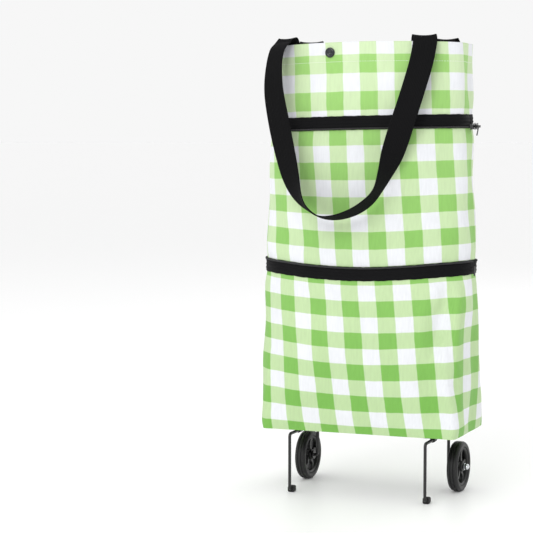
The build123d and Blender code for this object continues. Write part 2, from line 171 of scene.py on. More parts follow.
def object_noise(mat, per_metre, detail=2.0, rough=0.5, stretch=(1, 1, 1)):
    """Noise fixed to the piece, from 0 to 1."""
    where = add(mat, "ShaderNodeTexCoord")
    scaled = add(mat, "ShaderNodeMapping", [(where.outputs["Object"], "Vector")], in_Scale=stretch)
    return add(mat, "ShaderNodeTexNoise", [(scaled.outputs[0], "Vector")],
               in_Scale=per_metre, in_Detail=detail, in_Roughness=rough).outputs["Fac"]


UNEVEN_GLOSS = 0.07      # how far a moulded finish's roughness wanders


def grained(name, base, dark, roughness, grain_mm, depth_mm, metallic=0.0, **sockets):
    """Moulded or coated finish: fine surface grain, and slightly uneven colour and gloss."""
    mat, shader = finish_named(name, base, roughness, metallic, **sockets)
    fine = object_noise(mat, 1000 / grain_mm, 3.0, 0.6)
    broad = object_noise(mat, 40.0, 2.0)
    tone = mix_colours(mat, broad, srgb(dark), srgb(base))
    feed(mat, shader.inputs["Base Color"], tone)
    feed(mat, shader.inputs["Roughness"],
         remap(mat, broad, max(roughness - UNEVEN_GLOSS, 0.02), min(roughness + UNEVEN_GLOSS, 1.0)))
    bump(mat, shader, fine, depth_mm / 1000)
    return mat


CHECK = 0.046            # one coloured and one white stripe of the gingham
RIB, PICK = 0.0016, 0.0013    # warp ribs and weft picks of its weave


def gingham():
    """Yarn-dyed polyester plain weave, 600 denier class, laminated behind: a matt checked cloth
    whose warp stands up as fine upright ribs."""
    mat, shader = finish_named("yarn_dyed_gingham_polyester", "#CFE8B8", 0.78, Sheen_Weight=0.12,
                               Sheen_Roughness=0.5, Specular_IOR_Level=0.3)
    uv = add(mat, "ShaderNodeUVMap", uv_map="checks")
    across, up, _ = add(mat, "ShaderNodeSeparateXYZ", [(uv.outputs[0], "Vector")]).outputs
    # threads wander a little, so a check's edge is not ruled
    wander = math_node(mat, "MULTIPLY", math_node(mat, "SUBTRACT", object_noise(mat, 60.0), 0.5), 0.03)

    def stripe(coordinate):
        """1 on a coloured stripe and 0 between, with a soft edge."""
        shifted = math_node(mat, "ADD", math_node(mat, "ADD", coordinate, wander), 0.25)
        away = math_node(mat, "ABSOLUTE", math_node(mat, "SUBTRACT", math_node(mat, "FRACT", shifted), 0.5))
        return remap(mat, away, 0.0, 1.0, 0.262, 0.242)

    column, row = stripe(across), stripe(up)
    place = add(mat, "ShaderNodeTexCoord").outputs["Object"]
    height = add(mat, "ShaderNodeSeparateXYZ", [(place, "Vector")]).outputs[2]
    # painted shade: both greens are painted lighter towards the mouth and darker towards the floor, standing
    # in for light that falls from the front and above
    painted_shade_by_height = remap(mat, height, 0.0, 1.0, 0.56, 0.12)
    light = mix_colours(mat, painted_shade_by_height, srgb("#D0E6B8"), srgb("#BFDAA5"))
    deep = mix_colours(mat, painted_shade_by_height, srgb("#A0D176"), srgb("#7CB954"))
    white_row = mix_colours(mat, column, srgb("#ECEEF2"), light)
    green_row = mix_colours(mat, column, light, deep)
    colour = mix_colours(mat, row, white_row, green_row)
    ribs = math_node(mat, "MULTIPLY", wave(mat, across, CHECK / RIB), 0.62)
    picks = math_node(mat, "MULTIPLY", wave(mat, up, CHECK / PICK), 0.38)
    threads = math_node(mat, "ADD", ribs, picks)
    patchy = math_node(mat, "MULTIPLY", threads, object_noise(mat, 240.0, 3.0))
    shade = remap(mat, patchy, 0.90, 1.03, -0.6, 0.6)
    slubs = remap(mat, object_noise(mat, 420.0, 2.0, 0.5, (1, 1, 0.12)), 0.965, 1.02, 0.3, 0.7)
    worn = remap(mat, object_noise(mat, 9.0, 3.0), 0.975, 1.01, 0.3, 0.7)
    value = math_node(mat, "MULTIPLY", math_node(mat, "MULTIPLY", shade, slubs), worn)
    grey = add(mat, "ShaderNodeCombineXYZ", [(value, 0), (value, 1), (value, 2)]).outputs[0]
    feed(mat, shader.inputs["Base Color"], mix_colours(mat, 1.0, colour, grey, "MULTIPLY"))
    slack = bump(mat, shader, object_noise(mat, 28.0, 3.0, 0.55), 0.0016, 0.6)
    bump(mat, shader, threads, 0.00016, 0.8, slack)
    return mat


def webbing():
    """Black polypropylene webbing, 30 mm: fine lengthwise ribs crossed by the weft."""
    mat, shader = finish_named("black_polypropylene_webbing", "#141415", 0.7, Sheen_Weight=0.01,
                               Sheen_Roughness=0.45, Specular_IOR_Level=0.08)
    uv = add(mat, "ShaderNodeUVMap", uv_map="along")
    across, along, _ = add(mat, "ShaderNodeSeparateXYZ", [(uv.outputs[0], "Vector")]).outputs
    ribs = wave(mat, across, 1 / 0.0020)
    weft = math_node(mat, "MULTIPLY", wave(mat, along, 1 / 0.0014), 0.35)
    weave = math_node(mat, "MULTIPLY", ribs, math_node(mat, "ADD", weft, 0.65))
    fuzz = object_noise(mat, 900.0, 3.0, 0.6)
    colour = mix_colours(mat, remap(mat, weave, 0.0, 1.0, -1.0, 1.0), srgb("#060607"), srgb("#131314"))
    fuzzed = mix_colours(mat, math_node(mat, "MULTIPLY", fuzz, 0.2), colour, srgb("#1F1F21"))
    feed(mat, shader.inputs["Base Color"], fuzzed)
    bump(mat, shader, weave, 0.00022, 0.9, bump(mat, shader, fuzz, 0.0001, 0.4))
    return mat


def zip_tape():
    """Black polyester zip tape: close slanting twill, with a little dust in it."""
    mat, shader = finish_named("black_polyester_zip_tape", "#131314", 0.62, Sheen_Weight=0.01,
                               Sheen_Roughness=0.4, Specular_IOR_Level=0.09)
    uv = add(mat, "ShaderNodeUVMap", uv_map="along")
    along, up, _ = add(mat, "ShaderNodeSeparateXYZ", [(uv.outputs[0], "Vector")]).outputs
    slant = math_node(mat, "ADD", along, math_node(mat, "MULTIPLY", up, 0.8))
    twill = wave(mat, slant, 1 / 0.0011)
    colour = mix_colours(mat, remap(mat, twill, 0.0, 1.0, -1.0, 1.0), srgb("#060607"), srgb("#121214"))
    dust = math_node(mat, "MULTIPLY", object_noise(mat, 160.0, 4.0, 0.6), 0.15)
    feed(mat, shader.inputs["Base Color"], mix_colours(mat, dust, colour, srgb("#222224")))
    bump(mat, shader, twill, 0.0001, 0.8)
    return mat


def turned_steel(name, base, roughness):
    """Plated pressed metal: soft shine with faint drawing lines."""
    mat, shader = finish_named(name, base, roughness, 1.0)
    lines = object_noise(mat, 900.0, 2.0, 0.5, (1, 1, 6))
    feed(mat, shader.inputs["Roughness"], remap(mat, lines, roughness - 0.08, roughness + 0.12))
    bump(mat, shader, lines, 0.00003, 0.5)
    return mat


def chrome():
    """Bright chrome plating, smeared a little by fingers."""
    mat, shader = finish_named("chrome_plated_steel", "#D9DCE0", 0.09, 1.0)
    feed(mat, shader.inputs["Roughness"], remap(mat, object_noise(mat, 300.0), 0.05, 0.16))
    return mat


M = {
    "cloth": gingham(),
    "webbing": webbing(),
    "tape": zip_tape(),
    # nylon monofilament coil: smooth, bright on each turn
    "coil": grained("black_nylon_coil", "#1E1E20", "#141415", 0.34, 0.8, 0.01),
    # zinc die casting under baked enamel: glossy with orange peel
    "enamel": grained("black_enamelled_zinc", "#1B1B1C", "#121213", 0.28, 1.2, 0.01, Coat_Weight=0.4),
    # stove lacquer over a pressed brass snap: deep blue-black, wet-looking
    "lacquer": grained("blue_black_lacquer", "#0B1420", "#060A11", 0.20, 0.9, 0.004, Coat_Weight=0.25,
                       Coat_Roughness=0.05),
    # nickel-plated pressed brass
    "snap_metal": turned_steel("nickel_plated_brass", "#C9C6BE", 0.28),
    # injection-moulded polypropylene with a spark-eroded texture
    "base_plastic": grained("black_moulded_polypropylene", "#1D1D1E", "#151516", 0.5, 0.5, 0.03),
    # calendered sheet, cut to size
    "board": grained("grey_polypropylene_sheet", "#C9C9C4", "#B9B9B4", 0.45, 0.7, 0.02),
    # washers blacked in hot oxide
    "blacked": grained("black_oxide_steel", "#1A1A1B", "#101011", 0.4, 0.4, 0.01),
    # cold-headed rivets and stamped washers, bright zinc plate
    "zinc": turned_steel("zinc_plated_steel", "#B4B6B8", 0.34),
    # bent rod under polyester powder coat: satin, with fine orange peel
    "powder": grained("satin_black_powder_coat", "#0F0F10", "#0A0A0B", 0.38, 0.7, 0.02, Coat_Weight=0.15),
    # caps pushed on to the wire: compression-moulded rubber, matt
    "foot": grained("black_moulded_rubber", "#1A1A1A", "#121212", 0.72, 0.6, 0.03),
    # glass-filled nylon, injection-moulded
    "rim": grained("black_moulded_nylon", "#101011", "#0A0A0B", 0.42, 0.6, 0.02),
    # thermoplastic rubber moulded on to the rim
    "tyre": grained("black_thermoplastic_rubber", "#111112", "#0B0B0C", 0.5, 0.9, 0.04),
    # spun polyester sewing thread
    "thread": grained("white_polyester_thread", "#F2F5F0", "#DDE6D6", 0.6, 0.3, 0.02, Sheen_Weight=0.2),
    "chrome": chrome(),
}


# --------------------------------------------------------------------------
# mesh helpers
# --------------------------------------------------------------------------
def deselect():
    if bpy.context.object and bpy.context.object.mode != "OBJECT":
        bpy.ops.object.mode_set(mode="OBJECT")
    bpy.ops.object.select_all(action="DESELECT")


def only(piece):
    """Selects the piece alone and makes it active."""
    deselect()
    piece.select_set(True)
    bpy.context.view_layer.objects.active = piece


def apply_modifiers(piece):
    only(piece)
    for m in list(piece.modifiers):
        bpy.ops.object.modifier_apply(modifier=m.name)


def settle(piece, material):
    """Puts the piece's place into its mesh and gives it its material."""
    only(piece)
    bpy.ops.object.transform_apply(location=True, rotation=True, scale=True)
    piece.data.materials.clear()
    piece.data.materials.append(material)


def smooth(piece, angle):
    only(piece)
    bpy.ops.object.shade_smooth_by_angle(angle=math.radians(angle))


def outward(piece, merge=0.00001, fill_sides=0):
    """Welds the piece's seams, caps open ends of up to fill_sides edges and turns its faces outwards."""
    only(piece)
    bpy.ops.object.mode_set(mode="EDIT")
    bpy.ops.mesh.select_all(action="SELECT")
    bpy.ops.mesh.remove_doubles(threshold=merge)
    if fill_sides:
        bpy.ops.mesh.fill_holes(sides=fill_sides)
    bpy.ops.mesh.normals_make_consistent(inside=False)
    bpy.ops.object.mode_set(mode="OBJECT")


def hand_over(piece, slot, body, *replaced):
    """Attaches the piece to its body and hides the CAD nodes that it stands for; slot is not used."""
    for node in replaced:
        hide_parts(node)
    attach(piece, body)


def woven_grid(name, across, up, place, uv_name, uv_at):
    """A grid of across x up cells, its points placed by place(s, t) with s and t from 0 to 1,
    and its UV map by uv_at(s, t)."""
    deselect()
    bpy.ops.mesh.primitive_grid_add(x_subdivisions=across, y_subdivisions=up, size=1.0)
    piece = bpy.context.object
    piece.name = piece.data.name = name
    mesh = piece.data
    co = np.zeros(len(mesh.vertices) * 3)
    mesh.vertices.foreach_get("co", co)
    co = co.reshape(-1, 3)
    s, t = co[:, 0] + 0.5, co[:, 1] + 0.5
    corner = np.zeros(len(mesh.loops), dtype=np.int64)
    mesh.loops.foreach_get("vertex_index", corner)
    layer = mesh.uv_layers[0]
    layer.name = uv_name
    uv = np.stack(uv_at(s[corner], t[corner]), 1)
    layer.data.foreach_set("uv", uv.astype(np.float32).ravel())
    mesh.vertices.foreach_set("co", place(s, t).ravel())
    mesh.update()
    return piece


# --------------------------------------------------------------------------
# the bag's shape
# --------------------------------------------------------------------------
LIP_Z, FLOOR_Z, RIM_Z = 0.0825, 0.0862, 0.5800       # the seam lip, the bag's floor and the mouth
BANDS = {"lower": (0.279, 0.297), "upper": (0.470, 0.488)}    # each zip half, bottom to top
SEAM = 0.0005            # the cloth stops this far short of a zip's teeth
GIRTH = 0.745            # the cloth's length round the bag at its fullest

# Height, half width, half depth, squareness of the outline, and its shift to the side, from the lip upwards
STATIONS, HALF_W, HALF_D, SQUARE, LEAN_X = zip(
    (0.0810, 0.1300, 0.0620, 14.0, -0.0010),
    (0.0862, 0.1330, 0.0650, 11.0, -0.0015),
    (0.1050, 0.1375, 0.0665, 6.0, -0.0025),
    (0.1400, 0.1415, 0.0680, 3.6, -0.0040),
    (0.1850, 0.1435, 0.0685, 2.8, -0.0050),
    (0.2350, 0.1435, 0.0675, 2.5, -0.0045),
    (0.2790, 0.1420, 0.0650, 2.4, -0.0060),
    (0.3010, 0.1418, 0.0640, 2.4, -0.0070),
    (0.3350, 0.1405, 0.0625, 2.4, -0.0060),
    (0.3800, 0.1380, 0.0600, 2.4, -0.0063),
    (0.4500, 0.1362, 0.0570, 2.5, -0.0060),
    (0.4880, 0.1354, 0.0555, 2.6, -0.0046),
    (0.5300, 0.1310, 0.0540, 2.9, -0.0020),
    (0.5800, 0.1265, 0.0520, 3.6, 0.0),
)

# Folds in the cloth: distance round from the front's middle and height of each end, half width, and how far
# it stands out
FOLDS = [
    (0.130, 0.084, 0.121, 0.195, 0.0070, 0.0056), (0.104, 0.095, 0.099, 0.175, 0.015, -0.0054),
    (0.128, 0.258, 0.109, 0.190, 0.0105, -0.0082), (0.145, 0.262, 0.134, 0.165, 0.008, 0.0052),
    (0.099, 0.250, 0.093, 0.205, 0.008, 0.0028), (0.118, 0.165, 0.132, 0.140, 0.010, -0.0040),
    (0.158, 0.110, 0.163, 0.220, 0.014, -0.0065), (-0.128, 0.092, -0.124, 0.170, 0.010, 0.0030),
    (-0.105, 0.120, -0.120, 0.215, 0.015, -0.0028), (0.020, 0.110, 0.060, 0.150, 0.020, 0.0016),
    (-0.060, 0.150, -0.020, 0.120, 0.018, -0.0014), (0.030, 0.255, 0.085, 0.235, 0.014, 0.0014),
    (-0.090, 0.262, -0.030, 0.246, 0.012, -0.0014), (0.060, 0.330, 0.110, 0.312, 0.010, -0.0022),
    (-0.110, 0.335, -0.060, 0.318, 0.011, -0.0018), (-0.020, 0.452, 0.045, 0.430, 0.013, -0.0020),
    (0.070, 0.455, 0.112, 0.400, 0.015, 0.0018), (-0.100, 0.440, -0.085, 0.380, 0.014, -0.0020),
    (0.020, 0.385, 0.030, 0.340, 0.018, 0.0014), (0.118, 0.380, 0.126, 0.330, 0.012, -0.0026),
    (-0.120, 0.500, -0.112, 0.560, 0.010, -0.0020), (-0.030, 0.500, 0.010, 0.520, 0.014, -0.0012),
    (0.095, 0.500, 0.105, 0.545, 0.012, -0.0016), (0.040, 0.545, 0.070, 0.520, 0.016, 0.0010),
    (0.186, 0.100, 0.186, 0.268, 0.018, -0.0050), (-0.186, 0.100, -0.186, 0.268, 0.018, -0.0050),
    (0.186, 0.310, 0.186, 0.460, 0.016, -0.0040), (-0.186, 0.310, -0.186, 0.460, 0.016, -0.0040),
    (0.186, 0.495, 0.186, 0.570, 0.020, -0.0060), (-0.186, 0.495, -0.186, 0.570, 0.020, -0.0060),
    (0.250, 0.100, 0.262, 0.200, 0.009, 0.0035), (0.280, 0.250, 0.300, 0.170, 0.014, -0.0035),
    (0.330, 0.130, 0.355, 0.190, 0.018, 0.0020), (-0.260, 0.100, -0.250, 0.190, 0.010, 0.0035),
    (-0.310, 0.250, -0.280, 0.180, 0.014, -0.0030), (0.300, 0.330, 0.350, 0.312, 0.011, -0.0022),
    (-0.340, 0.440, -0.290, 0.420, 0.014, -0.0020), (0.330, 0.380, 0.345, 0.430, 0.016, 0.0018),
    (-0.330, 0.360, -0.300, 0.320, 0.012, -0.0020), (0.355, 0.500, 0.330, 0.540, 0.013, -0.0014),
]


def eased(z, values):
    """Station values at height z, averaged over 18 mm so that no station shows."""
    near = np.linspace(-0.009, 0.009, 7)
    return np.interp(np.clip(z[..., None] + near, STATIONS[0], STATIONS[-1]), STATIONS, values).mean(-1)


def outline(z, count=1801):
    """The bag's outline at height z, a superellipse walked from the back's middle round by the left, front
    and right, with the share of the girth at each point and the girth."""
    ring = np.linspace(-np.pi, np.pi, count)
    a, b, n, lean = (eased(np.array([z]), v)[0] for v in (HALF_W, HALF_D, SQUARE, LEAN_X))
    cx = a * np.sign(np.sin(ring)) * np.abs(np.sin(ring)) ** (2 / n) + lean
    cy = -b * np.sign(np.cos(ring)) * np.abs(np.cos(ring)) ** (2 / n)
    walk = np.concatenate([[0], np.cumsum(np.hypot(np.diff(cx), np.diff(cy)))])
    return cx, cy, walk / walk[-1] - 0.5, walk[-1]


GIRTH_Z = np.linspace(STATIONS[0], STATIONS[-1], 40)
GIRTH_AT = [outline(z, 601)[3] for z in GIRTH_Z]


def ripple(s, z):
    """Outward displacement of slack cloth, s round the bag from -0.5 to 0.5, z the height."""
    out = np.zeros_like(s)
    x = s * GIRTH
    for x0, z0, x1, z1, width, rise in FOLDS:
        dx, dz = x1 - x0, z1 - z0
        long2 = dx * dx + dz * dz
        px = (x - x0 + GIRTH / 2) % GIRTH - GIRTH / 2
        t = np.clip((px * dx + (z - z0) * dz) / long2, 0, 1)
        gap2 = (px - t * dx) ** 2 + (z - z0 - t * dz) ** 2
        out += rise * np.exp(-gap2 / width ** 2) * (0.55 + 0.45 * np.sin(np.pi * t))
    turn = 2 * np.pi * s
    out += 0.0007 * np.sin(5 * turn + 31 * z) * np.sin(52 * z + 1.3)
    out += 0.0005 * np.sin(9 * turn - 44 * z + 0.7) + 0.0004 * np.sin(14 * turn + 71 * z + 2.1)
    # the stiff zips hold the cloth in, and the floor's seam gathers it
    for low, high in BANDS.values():
        off_middle = np.abs(z - (low + high) / 2)
        beyond = np.maximum(off_middle - 0.009, 0)
        out -= 0.0016 * np.exp(-(beyond / 0.010) ** 2)
        pucker = 0.00025 * np.sin(34 * turn + 1.1 * np.sin(3 * turn))
        out += (off_middle > 0.0085) * np.exp(-(beyond / 0.012) ** 2) * pucker
    out *= np.clip((z - 0.078) / 0.020, 0, 1)
    # the bottom corners stand out where the floor's seam turns
    for corner in (0.166, 0.334, -0.166, -0.334):
        out += 0.0045 * np.exp(-((s - corner) / 0.010) ** 2 - ((z - 0.083) / 0.014) ** 2)
    return out


def at_sides(s):
    """1 at the middle of either side of the bag and 0 at the middle of its front and back."""
    return (1 - np.cos(4 * np.pi * s)) / 2


def heave(s, x, z):
    """How far the cloth lies above or below its nominal height."""
    sides = at_sides(s)
    lift = np.interp(z, [0.086, 0.150, 0.240, 0.300, 0.380, 0.470, 0.530, 0.580],
                     [0.0, 0.003, 0.0068, 0.0085, 0.004, -0.0005, -0.001, -0.0028])
    tilt = np.interp(z, [0.12, 0.27, 0.300, 0.460, 0.490, 0.560, 0.580],
                     [0.0, 0.008, 0.008, 0.018, 0.018, 0.002, 0.0])
    arch = np.interp(z, [0.53, 0.58], [0.0, 0.0005])
    bottom = np.interp(z, [0.081, 0.130], [1.0, 0.0]) * (0.0010 + 0.0100 * x)
    return lift * sides + tilt * x + arch + bottom


def bag_point(s, z, out=0.0):
    """Point on the bag's cloth, or out beyond it. s is the share of the girth from the front's middle."""
    s, z = np.asarray(s, float), np.asarray(z, float)
    out = np.broadcast_to(np.asarray(out, float), s.shape)
    points = np.zeros(s.shape + (3,))
    for level in np.unique(np.round(z, 6)):
        on = np.abs(z - level) < 1e-6
        cx, cy, share, _ = outline(level)
        sv = (s[on] + 0.5) % 1.0 - 0.5
        x, y = np.interp(sv, share, cx), np.interp(sv, share, cy)
        before, after = ((sv + step + 0.5) % 1.0 - 0.5 for step in (-0.004, 0.004))
        tx = np.interp(after, share, cx) - np.interp(before, share, cx)
        ty = np.interp(after, share, cy) - np.interp(before, share, cy)
        size = np.hypot(tx, ty)
        nx, ny = ty / size, -tx / size
        push = ripple(sv, np.full_like(sv, level)) + out[on]
        lifted = level + heave(sv, x, np.full_like(x, level))
        points[on] = np.stack((x + nx * push, y + ny * push, lifted), -1)
    return points


# The gingham on each section: height of the lower edge of one coloured row, the rows' repeat, and where a
# coloured column starts to the right of the front's middle, level with the upper band
CHECKS = {
    "lower": (0.2334, 0.0402, 0.0070),
    "middle": (0.3190, 0.0439, 0.0035),
    "upper": (0.4955, 0.0463, 0.0010),
}
CHECKS_ROUND = 15        # columns' repeats round the bag
COLUMN_SLOPE = 0.0867    # the columns lean to the right by this share of their height


def checks_at(section, z_of_t):
    """UV map in repeats of the check, counted from the front's middle round to a seam at the middle of
    the back."""
    base, pitch, first = CHECKS[section]

    def uv_at(s, t):
        z = z_of_t(t)
        s = s - 0.5
        girth = np.interp(z, GIRTH_Z, GIRTH_AT)
        # behind, the cloth is eased so that the columns meet at the seam
        behind = np.clip(np.abs(s) - 0.25, 0, None) * 4
        eased_arc = np.sign(s) * (girth / 4 + behind * (CHECKS_ROUND / 2 * CHECK - girth / 4))
        arc = np.where(behind > 0, eased_arc, s * girth)
        # the cloth is drawn up towards the sides near the floor
        drawn = 0.0045 * at_sides(s) * np.interp(z, [0.085, 0.17, 0.25], [0.7, 1.0, 0.0])
        slope = (0.535 - z) * COLUMN_SLOPE
        return (arc - first - slope) / CHECK, (z - drawn - base) / pitch
    return uv_at


def thicken(piece, thickness):
    """Gives the cloth its thickness, inwards, and its finish."""
    solid = piece.modifiers.new("cloth", "SOLIDIFY")
    solid.thickness, solid.offset = thickness, -1.0
    apply_modifiers(piece)
    settle(piece, M["cloth"])
    smooth(piece, 60)


CLOTH_T, HEM_T = 0.0012, 0.0008
ROUND_CELLS = 300        # cells round the bag


def cloth_section(name, section, low, high, up):
    """One section of the bag from low to high, up cells tall."""
    def z_of_t(t):
        return low + (high - low) * t

    piece = woven_grid(name, ROUND_CELLS, up, lambda s, t: bag_point(s - 0.5, z_of_t(t)), "checks",
                       checks_at(section, z_of_t))
    outward(piece, 0.00002)
    thicken(piece, CLOTH_T)
    return piece


LOWER_TOP, MIDDLE_TOP = BANDS["lower"][1], BANDS["upper"][0]
lower = cloth_section("lower_bag_cloth", "lower", LIP_Z, LOWER_TOP - SEAM, 96)
hand_over(lower, "cloth_gingham", "base", "lower_section")
middle = cloth_section("middle_bag_cloth", "middle", LOWER_TOP, MIDDLE_TOP, 80)
hand_over(middle, "cloth_gingham", "base", "middle_section")
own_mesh(middle)
upper = cloth_section("upper_bag_cloth", "upper", MIDDLE_TOP + SEAM, RIM_Z, 56)
hand_over(upper, "cloth_gingham", "top", "upper_section")

HEM, HEM_TURN = 0.024, 0.0035      # the hem's depth inside the mouth, and its turn over the rim


def hem_point(s, t):
    """The turned-in hem: up the inside of the mouth, then over its edge."""
    run = t * (HEM + HEM_TURN)
    over = np.clip(run - HEM, 0, None) / HEM_TURN
    z = np.minimum(RIM_Z - HEM + run, RIM_Z)
    rise = 0.0011 * np.sin(np.pi * np.clip(over, 0, 1) * 0.75)
    flat = np.zeros_like(s)
    return bag_point(s - 0.5, z, -0.0023 + 0.0018 * over) + np.stack((flat, flat, rise), -1)


hem = woven_grid("hem_cloth", ROUND_CELLS, 12, hem_point, "checks",
                 checks_at("upper", lambda t: RIM_Z - HEM + HEM * t))
outward(hem, 0.00002)
thicken(hem, HEM_T)
hand_over(hem, "cloth_gingham", "top", "hem_facing")

FLOOR_CHECK = 0.0462     # the check's repeat on the floor


def bag_floor_cloth():
    """The bag's floor: its edge is sewn to the walls' lower edge, and a margin is left round it."""
    edge_s = np.linspace(-0.5, 0.5, ROUND_CELLS + 1)[:-1]
    edge = bag_point(edge_s, np.full_like(edge_s, FLOOR_Z), -CLOTH_T / 2)
    mesh = bpy.data.meshes.new("bag_floor_cloth")
    bm = bmesh.new()
    face = bm.faces.new([bm.verts.new(p) for p in edge])
    bmesh.ops.inset_region(bm, faces=[face], thickness=0.006, depth=0.0)
    uv_layer = bm.loops.layers.uv.new("checks")
    for face in bm.faces:
        for corner in face.loops:
            corner[uv_layer].uv = corner.vert.co.xy / FLOOR_CHECK
    bm.to_mesh(mesh)
    bm.free()
    piece = bpy.data.objects.new("bag_floor_cloth", mesh)
    bpy.context.scene.collection.objects.link(piece)
    solid = piece.modifiers.new("cloth", "SOLIDIFY")
    solid.thickness, solid.offset = CLOTH_T, 0.0
    apply_modifiers(piece)
    settle(piece, M["cloth"])
    outward(piece)
    return piece


hand_over(bag_floor_cloth(), "cloth_gingham", "base")


# --------------------------------------------------------------------------
# zip halves
# --------------------------------------------------------------------------
WELD = 0.000005          # a rolled-up grid's edges are welded when they lie this close
END_GAP = 0.0010         # half of the gap between a tape's two ends, as a share of the girth


def tape_profile(tall):
    """(height, stand-off) round a tape's section: three raised ribs on the outside."""
    outer = np.linspace(0.0, tall, 34)
    ribs = sum(np.exp(-((outer - tall * c) / 0.0011) ** 2) for c in (0.24, 0.5, 0.76))
    edge = np.minimum(1, np.minimum(outer, tall - outer) / 0.0012)
    stand = 0.00075 + 0.00055 * ribs * edge + 0.0003 * np.sqrt(np.clip(edge, 0, 1))
    return list(zip(outer, stand)) + [(tall, 0.0001), (0.0, 0.0001)]


def zip_band(name, low, high):
    """A tape sewn round the bag from one side of the slider's gap, at the right, to the other."""
    profile = tape_profile(high - low)
    profile = np.array(profile + profile[:1])
    marks = np.linspace(0, 1, len(profile))
    start, end = 0.25 + END_GAP, 1.25 - END_GAP

    def place(s, t):
        k = np.rint(t * (len(profile) - 1)).astype(int)
        share = start + (end - start) * s
        points = bag_point(share, low + profile[k, 0], profile[k, 1])
        points[:, 2] += 0.00015 * np.sin(2 * np.pi * share * 31) + 0.0001 * np.sin(2 * np.pi * share * 74 + 1)
        return points

    band = woven_grid(name, 420, len(profile) - 1, place, "along",
                      lambda s, t: (s * GIRTH, np.interp(t, marks, profile[:, 0])))
    outward(band, WELD, 80)
    settle(band, M["tape"])
    smooth(band, 50)
    return band


COIL_PITCH, COIL_OUT, COIL_UP = 0.0015, 0.0010, 0.0013     # one turn's length, and its reach out and up


def zip_coil(name, z, start, end):
    """Nylon monofilament wound along the tape's free edge. start and end are shares of the girth."""
    turns = int((end - start) * GIRTH / COIL_PITCH)

    def place(s, t):
        phase = 2 * np.pi * t
        swell = 1 + 0.28 * np.cos(2 * np.pi * s * turns + 0.8 * np.cos(phase))
        out = 0.0016 + COIL_OUT * swell * np.cos(phase)
        points = bag_point(start + (end - start) * s, np.full_like(s, z), out)
        points[:, 2] += COIL_UP * swell * np.sin(phase)
        return points

    coil = woven_grid(name, turns * 4, 6, place, "along", lambda s, t: (s * GIRTH, t * 0.008))
    outward(coil, WELD, 20)
    settle(coil, M["coil"])
    smooth(coil, 70)
    return coil


LOWER_TAPE = (BANDS["lower"][0], 0.2966)
UPPER_TAPE = (MIDDLE_TOP + SEAM, BANDS["upper"][1])
hand_over(zip_band("lower_zip_band", *LOWER_TAPE), "zip_tape", "base", "lower_zip_tape")
hand_over(zip_band("upper_zip_band", *UPPER_TAPE), "zip_tape", "top", "upper_zip_tape")
# each coil's height and ends; the upper one leaves room for the slider
LOWER_COIL = (0.2952, 0.2630, 1.2370)
UPPER_COIL = (0.4718, 0.3030, 1.2340)
hand_over(zip_coil("lower_zip_spiral", *LOWER_COIL), "zip_coil", "base", "lower_zip_coil")
hand_over(zip_coil("upper_zip_spiral", *UPPER_COIL), "zip_coil", "top", "upper_zip_coil")


# --------------------------------------------------------------------------
# sewing
# --------------------------------------------------------------------------
# one stitch's length, their pitch, and the thread's half thickness
STITCH, STITCH_EVERY, THREAD = 0.0026, 0.0034, 0.00028
STITCH_RINGS = 5


def stitches(name, points, outs):
    """A row of lockstitches along the points, each a short bowed thread lying on the cloth."""
    walk = np.concatenate([[0], np.cumsum(np.linalg.norm(np.diff(points, axis=0), axis=1))])

    def on_walk(rows, d):
        return np.array([np.interp(d, walk, rows[:, c]) for c in range(3)])

    bm = bmesh.new()
    for k in range(int(walk[-1] / STITCH_EVERY)):
        rings = []
        for u in np.linspace(0, 1, STITCH_RINGS):
            d = k * STITCH_EVERY + u * STITCH
            p, o = on_walk(points, d), on_walk(outs, d)
            along = on_walk(points, d + 0.0004) - p
            along /= max(np.linalg.norm(along), 1e-9)
            o = o - along * np.dot(o, along)
            o /= np.linalg.norm(o)
            side = np.cross(along, o)
            bow = math.sin(math.pi * u)
            centre = p + o * THREAD * (1.5 * bow - 0.6)
            half = THREAD * (0.55 + 0.6 * bow)
            rings.append([bm.verts.new(centre + half * (math.cos(a) * o + math.sin(a) * side))
                          for a in (0.0, math.pi / 2, math.pi, 3 * math.pi / 2)])
        for a, b in zip(rings, rings[1:]):
            for j in range(4):
                bm.faces.new((a[j], a[(j + 1) % 4], b[(j + 1) % 4], b[j]))
        bm.faces.new(rings[0][::-1])
        bm.faces.new(rings[-1])
    bmesh.ops.recalc_face_normals(bm, faces=bm.faces)
    mesh = bpy.data.meshes.new(name)
    bm.to_mesh(mesh)
    bm.free()
    piece = bpy.data.objects.new(name, mesh)
    bpy.context.scene.collection.objects.link(piece)
    settle(piece, M["thread"])
    smooth(piece, 80)
    return piece


SEWN_Z = 0.5562          # height of the row that holds the hem
round_s = np.linspace(-0.5, 0.5, 500)
on_cloth, off_cloth = (bag_point(round_s, np.full_like(round_s, SEWN_Z), out) for out in (0.0, 0.002))
hand_over(stitches("hem_stitches", on_cloth, off_cloth - on_cloth), "cloth_gingham", "top")


# --------------------------------------------------------------------------
# handles
# --------------------------------------------------------------------------
# the fold over the rim: its height, radius and how far its middle is set in from the wall
FOLD_Z, FOLD_R, FOLD_IN = 0.5826, 0.0038, 0.0008
SEWN_HEIGHTS = (0.5425, 0.550, 0.558, 0.566, 0.574, 0.580)      # up the end that is sewn inside the mouth
STRAP_W, STRAP_T = 0.030, 0.0016
STRAP_LANES = 46         # points across each face, one to a rib's crest or trough


